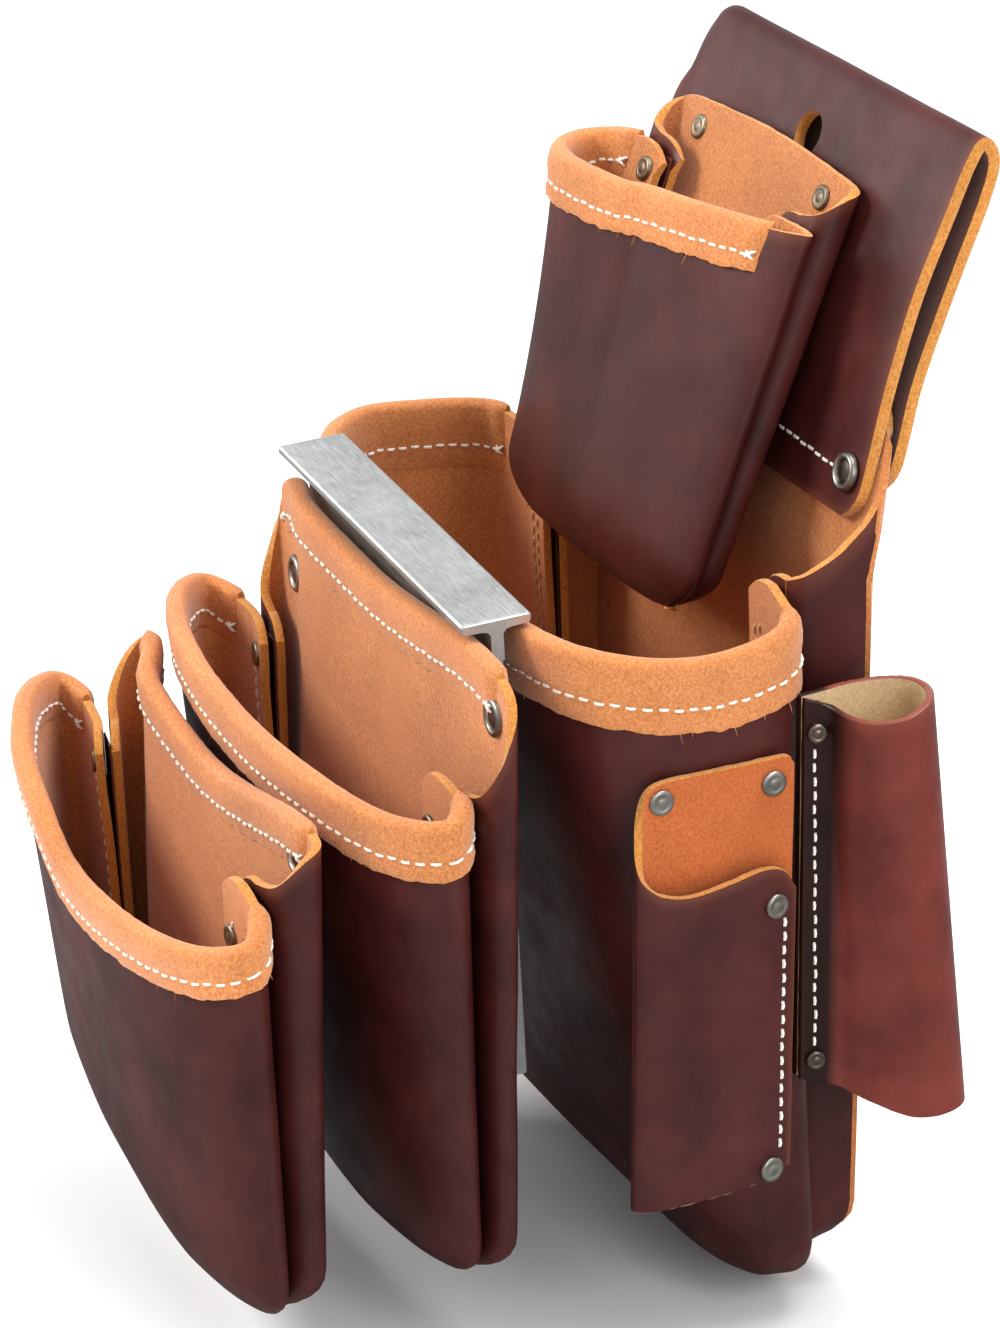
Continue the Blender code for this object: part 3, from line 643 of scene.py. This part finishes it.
def add_sheet(mesh, surface, thickness, finishes, seed, edge_wear=1.0):
    """A sheet of leather as a closed skin with a slightly ragged cut edge.

    The finishes are those of the skin on the normals' side, of the other skin,
    of the cut edge and of the bottom edge.
    """
    points, normals = surface.points, surface.normals
    rows, columns = points.shape[:2]
    rim = np.array([distances(points[::-1, c])[::-1] for c in range(columns)]).T
    left = np.array([distances(points[r]) for r in range(rows)])
    from_edge = np.minimum(rim, np.minimum(left, left[:, -1:] - left))
    wear = edge_wear * 0.75 * np.exp(-from_edge / 2.2)
    sides = []
    for sign in (0.5, -0.5):
        skin = points + normals * thickness * sign
        numbers = mesh.add(skin.reshape(-1, 3), wear.reshape(-1).tolist())
        sides.append(np.array(numbers).reshape(rows, columns))
    face, back = sides
    for r in range(rows - 1):
        for c in range(columns - 1):
            mesh.face((face[r, c], face[r, c + 1], face[r + 1, c + 1], face[r + 1, c]),
                      finishes[0])
            mesh.face((back[r, c], back[r + 1, c], back[r + 1, c + 1], back[r, c + 1]),
                      finishes[1])
    border = [(0, c) for c in range(columns)] + [(r, columns - 1) for r in range(1, rows)]
    border += [(rows - 1, c) for c in range(columns - 2, -1, -1)]
    border += [(r, 0) for r in range(rows - 2, 0, -1)]
    rings = ([], [])
    for r, c in border:
        inside = points[min(max(r, 1), rows - 2), min(max(c, 1), columns - 2)]
        out = unit(points[r, c] - inside)
        for ring, share in zip(rings, (0.30, -0.30)):
            ragged = 0.35 + 0.30 * ripple(points[r, c] + normals[r, c] * share * 9.0, 2.3, seed)
            ring.append(points[r, c] + normals[r, c] * thickness * share + out * ragged)
    loops = [[face[spot] for spot in border], mesh.add(rings[0], 1.0), mesh.add(rings[1], 1.0),
             [back[spot] for spot in border]]
    for loop, following in zip(loops[1:], loops):
        for k, spot in enumerate(border):
            after = (k + 1) % len(border)
            seam = spot[0] == 0 and border[after][0] == 0
            mesh.face((loop[k], loop[after], following[after], following[k]),
                      finishes[3] if seam else finishes[2])


def add_stitches(mesh, surface, start, end, fixed, lift, finish, upright=False, radius=THREAD):
    """A row of stitches at a fixed depth below the rim, or upright at a fixed place along it."""
    sway, beat = (0.2, 1.9) if upright else (0.25, 2.4)
    count = max(1, int((end - start) / STITCH_PITCH))
    for k in range(count):
        first = start + (end - start) * k / count
        spots = [(first + STITCH_LENGTH * t, fixed + sway * math.sin(k * beat))
                 for t in STITCH_SPOTS]
        line = [surface.at(*(spot[::-1] if upright else spot), lift) for spot in spots]
        add_stitch(mesh, line, math.copysign(1.0, lift), radius, finish)


def add_knot(mesh, surface, along, down, lift, finish):
    """The end of a row of stitches: two threads crossed over each other."""
    for way in (1.0, -1.0):
        line = [surface.at(along + 2.0 * t, down + way * 1.7 * t, lift)
                for t in (-1.0, -0.6, 0.0, 0.6, 1.0)]
        add_stitch(mesh, line, math.copysign(1.0, lift), THREAD * 1.2, finish)


def add_stitch(mesh, line, side, radius, finish):
    """One stitch: a short thread that comes out of the leather and dives back in."""
    spots = np.array([point for point, _ in line])
    outward = unit(line[2][1] * side)
    ahead = unit(spots[-1] - spots[0])
    across = unit(np.cross(ahead, outward))
    rings = []
    for spot, high, thick in zip(spots, (-0.9, 0.1, 0.45, 0.1, -0.9),
                                 (0.55, 0.95, 1.1, 0.95, 0.55)):
        middle = spot + outward * high * radius * 1.6
        rings.append(mesh.add([middle + radius * thick
                               * (across * math.cos(a) + outward * math.sin(a))
                               for a in np.linspace(0.0, math.tau, 7)[:-1]]))
    mesh.tube(rings, finish)


def add_fibres(mesh, surface, start, end, down, lift, count, seed):
    """Loose fibres that hang from a cut suede edge."""
    dice = random.Random(seed)
    for _ in range(count):
        along = dice.uniform(start, end)
        root, normal = surface.at(along, down - 0.6, lift)
        below = unit(surface.at(along, down + 4.0, lift)[0] - root)
        long = dice.choice((1.2, 1.6, 2.0, 2.6, 4.2))
        lean = Vector((dice.uniform(-1, 1), dice.uniform(-1, 1), dice.uniform(-0.5, 0.2)))
        tip = root + below * long + np.array(lean) * long * 0.35 + normal * 0.3 * np.sign(lift)
        bend = (root + tip) / 2 + np.array(lean).dot((1, 0, 0)) * 0.2 * normal
        side = unit(np.cross(below, normal)) * 0.13
        thick = normal * 0.13
        mesh.tube([mesh.add([spot + side * size, spot - side * size * 0.5 + thick * size,
                             spot - side * size * 0.5 - thick * size])
                   for spot, size in ((root, 1.2), (bend, 0.9), (tip, 0.35))])


def add_binding(mesh, surface, start, end, drop, seed, inner):
    """A suede strip rolled over the rim: plump on top, pinched at its stitches.

    On the inner side its lower edge is pared thin, so it lies flush. Finish 1
    is that of its cut edges.
    """
    inside = BINDING_INSIDE
    outside = inside + BINDING_THICK
    left_side, right_side = (PARED_SIDE, CUT_SIDE) if inner < 0.0 else (CUT_SIDE, PARED_SIDE)
    over = [(-outside * math.cos(a), 0.4 - (outside * 0.80) * math.sin(a))
            for a in np.linspace(0.0, math.pi, 9)[1:-1]]
    outer = len(left_side) + len(over) + len(right_side)
    count = max(4, int((end - start) / 2.2))
    rings = []
    for k in range(count + 1):
        along = lerp(start, end, k / count)
        probe = surface.at(along, 0.0)[0]
        low = drop + 0.9 * ripple(probe, 5.0, seed) + 0.5 * ripple(probe, 1.7, seed + 2)
        taper = min(1.0, 0.35 + min(k, count - k) * 0.45)
        section = [(-(outside + puff) * taper, 0.4 + share * low)
                   for share, puff in reversed(left_side)]
        section += [(x * taper, z) for x, z in over]
        section += [((outside + puff) * taper, 0.4 + share * low) for share, puff in right_side]
        section += [(inside * taper, low - 0.6), (inside * taper, 0.6), (0.0, -0.1),
                    (-inside * taper, 0.6), (-inside * taper, low - 0.6)]
        ring = []
        for index, (lift, down) in enumerate(section):
            point, normal = surface.at(along, down, lift)
            if index < outer:
                nap = 0.16 * ripple(point, 1.5, seed) + 0.22 * ripple(point, 6.0, seed + 1)
                point = point + normal * nap * math.copysign(1.0, lift)
            ring.append(point)
        rings.append(mesh.add(ring))
    size = len(rings[0])
    for ring, following in zip(rings, rings[1:]):
        for k in range(size):
            after = (k + 1) % size
            cut_edge = k in (outer - 1, size - 1)
            mesh.face((ring[k], ring[after], following[after], following[k]), int(cut_edge))
    mesh.face(rings[0][::-1], 1)
    mesh.face(rings[-1], 1)


def turned(mesh, centre, normal, radius, profile, finish):
    """Turns a profile of (share of the radius, height) round an axis; share 0 closes it."""
    axis = Vector(normal).normalized()
    side = axis.orthogonal().normalized()
    other = axis.cross(side)
    rings = []
    for share, height in profile:
        middle = Vector(centre) + axis * height
        reach = radius * share
        rings.append(mesh.add([middle + side * (reach * math.cos(a)) + other * (reach * math.sin(a))
                               for a in np.linspace(0.0, math.tau, TURNED_SIDES + 1)[:-1]]
                              if share else [middle]))
    for low, high in zip(rings, rings[1:]):
        for k in range(TURNED_SIDES):
            after = (k + 1) % TURNED_SIDES
            if len(high) == 1:
                mesh.face((low[k], low[after], high[0]), finish)
            elif len(low) == 1:
                mesh.face((low[0], high[after], high[k]), finish)
            else:
                mesh.face((low[k], low[after], high[after], high[k]), finish)


def fastener_place(node):
    """(centre of the base, outward normal, radius) of a CAD rivet, in mm."""
    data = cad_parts[node].data
    spots = np.array([vertex.co for vertex in data.vertices]) / MM + (0.0, 0.0, ORIGIN_HEIGHT)
    centre = spots.mean(axis=0)
    normal = np.linalg.svd(spots - centre)[2][2]
    heights = (spots - centre) @ normal
    flat = spots - centre - np.outer(heights, normal)
    radii = np.linalg.norm(flat, axis=1)
    middle = (heights.max() + heights.min()) / 2
    if radii[heights > middle].max() > radii[heights < middle].max():
        normal = -normal
        heights = -heights
    return centre + normal * heights.min(), normal, radii.max()


def make_fastener(node, finish):
    """A rivet head, or an eyelet-like ring round a dark cap, on its CAD place."""
    base, normal, radius = fastener_place(node)
    mesh = Mesh()
    parts = (EYELET_RING, EYELET_CAP) if radius > EYELET_RADIUS else (RIVET_HEAD,)
    for number, profile in enumerate(parts):
        turned(mesh, base, normal, radius, profile, number)
    mesh.build(node + "_head", (finish, BRONZE), (node,), sharp=50.0)


def make_fasteners():
    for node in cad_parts:
        if "rivet" in node or "eyelet" in node:
            aged = "seam_rivet" in node or "top_rivet" in node
            make_fastener(node, BRONZE if node.startswith("holster") else AGED if aged else NICKEL)


# ---- the pouches ----
def make_panel(name, pouch, surface, seed, front, rows_of_stitches, stitches, back=None):
    """One leather panel with its two seam flanges and their stitches.

    The front panel also carries the welts, so it needs the back's surface.
    """
    mesh = Mesh()
    grain, flesh, cut, sewn = range(4)
    panel_sides, flange_sides = (grain, flesh, cut, grain), (flesh, grain, cut, grain)
    if not front:
        panel_sides, flange_sides = flange_sides, panel_sides
    add_sheet(mesh, surface, LEATHER, panel_sides, seed)
    for side in ("left", "right"):
        seam = flange(pouch, surface, side)
        add_sheet(mesh, seam, LEATHER * FLANGE_THINNING, flange_sides, seed + 1)
        if front:
            add_sheet(mesh, welt(pouch, surface, back, side), WELT, (grain,) * 4, seed + 2, 0.0)
        width = seam.lengths[-1]
        deep = distances(seam.points[::-1, 3])[-1]
        for row in range(rows_of_stitches):
            outward = width * (0.40 + 0.24 * row)
            along = outward if side == "left" else width - outward
            add_stitches(mesh, seam, 16.0, deep * 0.96, along, LEATHER / 2, sewn, upright=True)
    mesh.build(name + "_leather", (BURGUNDY, TAN, RAW_EDGE, stitches), (name,))


def make_rim(name, surface, start, end, drop, seed, fibres, inner):
    """The suede binding of a rim with its stitches on both faces."""
    mesh = Mesh()
    first, last = surface.column_length(start), surface.column_length(end)
    add_binding(mesh, surface, first, last, drop, seed, inner)
    stitched = drop * BINDING_SEAM + 0.4
    reach = BINDING_INSIDE + BINDING_THICK - 0.50
    for side in (1.0, -1.0):
        add_stitches(mesh, surface, first + 3.0, last - 3.0, stitched, side * reach, 2)
        for along in (first + 3.0, last - 4.0):
            add_knot(mesh, surface, along, stitched, side * reach, 2)
    add_fibres(mesh, surface, first + 1.0, last - 1.0, drop, -inner * (reach - 0.3), fibres,
               seed)
    mesh.build(name + "_suede", (TAN, RAW_EDGE, WHITE_THREAD), (name,))


def make_pouches():
    for seed, name, pouch in ((1, "main_bag", MAIN), (2, "middle_pouch", MID),
                              (3, "outer_pouch", OUTER), (4, "small_pouch", SMALL)):
        rows, tone = (2, TAN_THREAD) if pouch is MAIN else (1, WHITE_THREAD)
        front, back = panel(pouch, True), panel(pouch, False)
        make_panel(name + "_front", pouch, front, seed, True, rows, tone, back)
        make_panel(name + "_back", pouch, back, seed + 10, False, 0, tone)
        first, last = (0.025, 0.72) if pouch is SMALL else (0.06, 0.94)
        make_rim(name + "_rim_binding", front, first, last, pouch.drop, seed, 34, -1.0)
        if pouch in (MID, OUTER):
            make_rim(name + "_back_binding", back, 0.33, 0.665, pouch.drop, seed + 5, 8, 1.0)


# ---- belt loop ----
def strap_line():
    """Middle of the strap's leather in the YZ plane, from the rear end to the front end."""
    clear = (LEATHER / 2 + GAP + STRAP_LEATHER / 2) * math.hypot(1.0, LEAN_SLOPE) + 0.1

    def sheet_y(z):
        return MAIN.back + LEAN_SLOPE * max(0.0, z - LEAN_START)

    rear = [Vector((0.0, sheet_y(z) + clear + 1.6, z)) for z in (302.0, 324.0, 346.0)]
    over = [Vector((0.0, y, z)) for y, z in ((33.5, 380.0), (44.5, 408.0), (47.5, 421.0),
                                             (43.5, 427.5), (38.5, 421.0), (32.0, 406.0),
                                             (19.5, 376.0))]
    front = [Vector((0.0, sheet_y(z) - clear, z)) for z in (346.0, 321.0, 296.0)]
    return [*rear, *over, *front]


def strap_half_width(along, length):
    """Half width at a distance along the strap, narrower at its rounded corners."""
    left = min(along, length - along)
    if left >= STRAP_CORNER:
        return STRAP_HALF_WIDTH
    rounded = math.sqrt(max(0.0, STRAP_CORNER ** 2 - (STRAP_CORNER - left) ** 2))
    return STRAP_HALF_WIDTH - STRAP_CORNER + rounded


def strap_surface():
    line = spline(strap_line(), 7)
    lengths = distances(np.array([tuple(point) for point in line]))
    rows = []
    for point, along in zip(line, lengths):
        half = strap_half_width(max(along, 2.0), lengths[-1] + 2.0)
        row = []
        for share in np.linspace(-1.0, 1.0, 57):
            x = half * share
            corner = max(0.0, STRAP_CORNER - STRAP_HALF_WIDTH - x)
            fold = max(0.0, point.z - 396.0) / 31.0
            sag = (STRAP_CORNER - math.sqrt(STRAP_CORNER ** 2 - corner ** 2)) * fold
            wave = WAVES * ripple((x, point.y, point.z), 40.0, 3.0)
            row.append((x, point.y + wave, point.z - sag))
        rows.append(row)
    return Surface(rows)


def make_belt_loop():
    surface = strap_surface()
    mesh = Mesh()
    # The loop's flesh side gets the darkened suede, painted shade inside the loop.
    add_sheet(mesh, surface, STRAP_LEATHER, (1, 0, 2, 2), 7.0)
    loop = mesh.build("belt_loop_leather", (BURGUNDY, PAINTED_SHADE_SUEDE, RAW_EDGE),
                      ("belt_loop",))
    cut_hang_slot(loop)
    stitches = Mesh()
    add_stitches(stitches, surface, 22.0, 178.0, 16.4, -STRAP_LEATHER / 2, 0)
    rear = Surface(surface.points[::-1])
    add_stitches(stitches, rear, 16.0, 184.0, 11.0, STRAP_LEATHER / 2, 0)
    stitches.build("belt_loop_stitches", (WHITE_THREAD,))


def cut_hang_slot(loop):
    """An oval slot through the front layer, its cut edge left raw."""
    bpy.ops.mesh.primitive_cylinder_add(vertices=40, radius=1.0, depth=12.0 * MM,
                                        location=place((-2.0, 32.0, 404.0)))
    cutter = bpy.context.object
    cutter.scale = (8.5 * MM, 8.5 * MM, 1.0)
    cutter.rotation_euler = (math.radians(64.0), 0.0, 0.0)
    cutter.data.materials.append(RAW_EDGE)
    change = loop.modifiers.new("slot", "BOOLEAN")
    change.operation = "DIFFERENCE"
    change.object = cutter
    change.material_mode = "TRANSFER"
    bpy.context.view_layer.objects.active = loop
    bpy.ops.object.modifier_apply(modifier="slot")
    bpy.data.objects.remove(cutter)


# ---- knife sleeve and tool holster ----
def make_sleeve():
    """Knife sleeve: one piece folded at its left edge, its rear layer a taller tab."""
    plan = ((133.2, -43.0, 226.5), (133.2, -46.0, 229.5), (133.2, -62.0, 229.0),
            (133.2, -80.0, 228.5), (133.3, -95.0, 227.5), (133.8, -101.0, 222.0),
            (135.0, -102.6, 208.0), (137.0, -102.6, 197.0), (139.2, -100.0, 191.5),
            (140.6, -94.0, 188.0), (141.2, -84.0, 187.0), (141.2, -70.0, 189.5),
            (140.0, -58.0, 191.5), (138.2, -49.0, 189.0), (136.9, -43.5, 181.0))
    top_line = spline([Vector(point) for point in plan], 6)
    rows = []
    for share in np.linspace(0.0, 1.0, UPRIGHT_ROWS):
        row = []
        for index, point in enumerate(top_line):
            near_edge = max(0.0, -50.0 - point.y) / 50.0
            low = 71.0 - 3.0 * near_edge + (3.0 if index > len(top_line) - 4 else 0.0)
            here = point.lerp(Vector((point.x, point.y, low)), 1.0 - share)
            here.x += 0.4 * ripple(here, 30.0, 5.0)
            row.append(here)
        rows.append(row)
    surface = Surface(rows)
    mesh = Mesh()
    add_sheet(mesh, surface, THIN_LEATHER, (0, 1, 2, 2), 8.0)
    along = surface.lengths[-1] - 9.0
    deep = distances(surface.points[::-1, -6])[-1]
    add_stitches(mesh, surface, 17.0, deep - 9.0, along, THIN_LEATHER / 2, 3, True, HEAVY_THREAD)
    mesh.build("knife_sleeve_leather", (BURGUNDY, ORANGE, RAW_EDGE, WHITE_THREAD),
               ("knife_sleeve",))


def make_holster():
    """Tool holster: leather rolled into a flattened tube, its seam towards the front."""
    plan = ((127.4, -38.0), (126.0, -29.5), (124.0, -19.0), (124.0, -8.0), (128.0, 3.0),
            (137.0, 6.0), (149.0, 1.0), (154.0, -10.0), (150.0, -20.0), (141.0, -26.0),
            (133.0, -29.5), (131.0, -38.0))
    last = len(plan) - 1
    rows = []
    for share in np.linspace(0.0, 1.0, UPRIGHT_ROWS):
        slant = 1.0 - share
        outline = []
        for k, (x, y) in enumerate(plan):
            free = min(1.0, k / 3, (last - k) / 3)
            low = HOLSTER_BOTTOM + 13.0 * (1.0 - free)
            dip = 5.0 * math.sin(math.pi * max(0.0, min(1.0, (k - 6) / 5.0)))
            outline.append(Vector((x + 3.0 * slant, y + 16.0 * slant * free,
                                   lerp(low, HOLSTER_TOP - dip, share))))
        rows.append(spline(outline, 7))
    surface = Surface(rows)
    mesh = Mesh()
    add_sheet(mesh, surface, THIN_LEATHER, (1, 0, 0, 0), 9.0, edge_wear=0.6)
    along = surface.lengths[-1] - 3.6
    deep = distances(surface.points[::-1, -3])[-1]
    add_stitches(mesh, surface, 17.0, deep - 12.0, along, -THIN_LEATHER / 2, 3, upright=True)
    mesh.build("tool_holster_leather", (OXBLOOD, PALE, OXBLOOD, WHITE_THREAD),
               ("tool_holster",))


# ---- layout square ----
def make_square():
    """Layout square: a cast T-shaped fence on top of a triangular blade."""
    turn = SQUARE_TILT.to_matrix()
    top = Vector(SQUARE_TOP)
    mesh = Mesh()
    section = [*FENCE, *[(-y, z) for y, z in reversed(FENCE[1:])]]
    half = SQUARE_LEG / 2
    rings = []
    for x, inset, wear in ((-half, 0.6, 0.9), (-half + 0.6, 0.0, 1.0), (-half + 2.4, 0.0, 0.0),
                           (half - 2.4, 0.0, 0.0), (half - 0.6, 0.0, 1.0), (half, 0.6, 0.9)):
        ring = [(x, y * (1.0 - inset / FENCE_HALF_WIDTH),
                 z * (1.0 - inset / FENCE_DEPTH) - inset * 0.5) for y, z in section]
        rings.append(mesh.add([top + turn @ Vector(point) for point in ring], wear))
    for ring, following in zip(rings, rings[1:]):
        mesh.bridge(ring, following)
    for ring in (rings[0][::-1], rings[-1]):
        count = len(ring)
        for k in range(count // 2):
            mesh.face((ring[k], ring[k + 1], ring[(-k - 1) % count], ring[-k % count])
                      if k else (ring[0], ring[1], ring[-1]))
    outline = ((-half + 1.0, -5.0), (half - 1.0, -5.0), (half - 0.5, -SQUARE_LEG),
               (half - 13.0, -SQUARE_LEG), (-half + 1.0, -19.5))
    skins = []
    for y, shrink, wear in ((-2.4, 0.5, 0.2), (-1.9, 0.0, 0.8), (1.9, 0.0, 0.8), (2.4, 0.5, 0.2)):
        ring = [(x * (1.0 - shrink / 80.0), y, z + shrink) for x, z in outline]
        skins.append(mesh.add([top + turn @ Vector(point) for point in ring], wear))
    mesh.tube(skins)
    mesh.build("layout_square_metal", (ALUMINIUM,), ("layout_square",),
               body="square", sharp=30.0)


# ---- studio ----
def make_stage():
    low = cad_box[0][2] - FLOOR_DROP
    data = bpy.data.meshes.new("floor")
    data.from_pydata([(x * FLOOR_HALF, y * FLOOR_HALF, low)
                      for x, y in ((-1, -1), (1, -1), (1, 1), (-1, 1))], [], [(0, 1, 2, 3)])
    data.materials.append(plain_floor())
    floor = new_object("floor", data)
    world = bpy.data.worlds.new("studio")
    world.use_nodes = True
    background = world.node_tree.nodes["Background"]
    background.inputs["Color"].default_value = (0.96, 0.98, 1.0, 1.0)
    background.inputs["Strength"].default_value = 0.80
    bpy.context.scene.world = world
    bpy.context.scene.view_settings.view_transform = "Standard"


def area_light(name, position, target, size, power, colour=(1.0, 1.0, 1.0)):
    lamp = bpy.data.lights.new(name, "AREA")
    lamp.shape = "RECTANGLE"
    lamp.size, lamp.size_y = size
    lamp.energy = power
    lamp.color = colour
    thing = new_object(name, lamp)
    thing.location = position
    thing.rotation_euler = (Vector(target) - Vector(position)).to_track_quat("-Z", "Y").to_euler()


def make_lights():
    middle = (0.0, -0.1, 0.05)
    area_light("key", (-0.8, -1.9, 1.5), middle, (0.8, 0.8), 50.0, (1.0, 0.975, 0.94))
    area_light("side", (1.9, 0.1, 0.9), middle, (0.5, 1.3), 15.0)
    area_light("panel", (-1.85, -1.2, 0.50), (0.0, -0.06, 0.30), (0.7, 0.9), 4.5)
    area_light("top", (0.2, 0.5, 1.8), middle, (1.2, 1.2), 34.0)


def make_camera():
    """The photograph's viewpoint, from the right front and above, with a long lens."""
    level = math.cos(CAMERA_ELEVATION)
    back = Vector((math.sin(CAMERA_AZIMUTH) * level, -math.cos(CAMERA_AZIMUTH) * level,
                   math.sin(CAMERA_ELEVATION)))
    data = bpy.data.cameras.new("camera")
    data.lens = CAMERA_LENS
    data.sensor_width = 36.0
    data.clip_end = 50.0
    camera = new_object("camera", data)
    camera.location = CAMERA_PLACE
    camera.rotation_mode = "QUATERNION"
    camera.rotation_quaternion = (-back).to_track_quat("-Z", "Y")
    bpy.context.scene.camera = camera


make_camera()
make_stage()
make_lights()
make_pouches()
make_belt_loop()
make_sleeve()
make_holster()
make_square()
make_fasteners()
